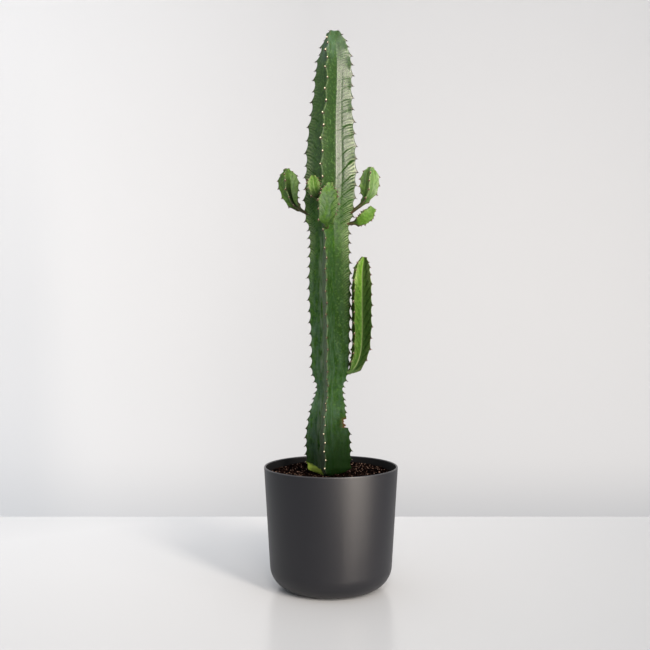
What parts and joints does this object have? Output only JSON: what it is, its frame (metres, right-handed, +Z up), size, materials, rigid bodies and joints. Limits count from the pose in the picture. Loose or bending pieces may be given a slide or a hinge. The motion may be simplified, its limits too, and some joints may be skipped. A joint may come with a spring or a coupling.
{
  "type": "potted euphorbia",
  "caption": "Tall winged columnar succulent with scalloped, spiny crests and short upright arms, standing in a round thin-walled pot filled with potting mix.",
  "frame": {"origin": "the middle of the pot's foot, on the surface that the pot stands on", "axes": "+Z up along the plant, -Y the front of the plant as pictured, +X to the right"},
  "size_m": [0.1798, 0.1798, 0.7433],
  "materials": {
    "pot": "satin",
    "soil": "matte",
    "stem": "satin",
    "arm": "satin"
  },
  "bodies": {
    "root": {"pot": "pot", "soil": "soil", "main_stem": "stem", "arm_left": "arm", "shoot_front_left": "arm", "arm_front": "arm", "arm_right_upper": "arm", "arm_right_lower": "arm", "arm_right_large": "arm"}
  },
  "joints": []
}
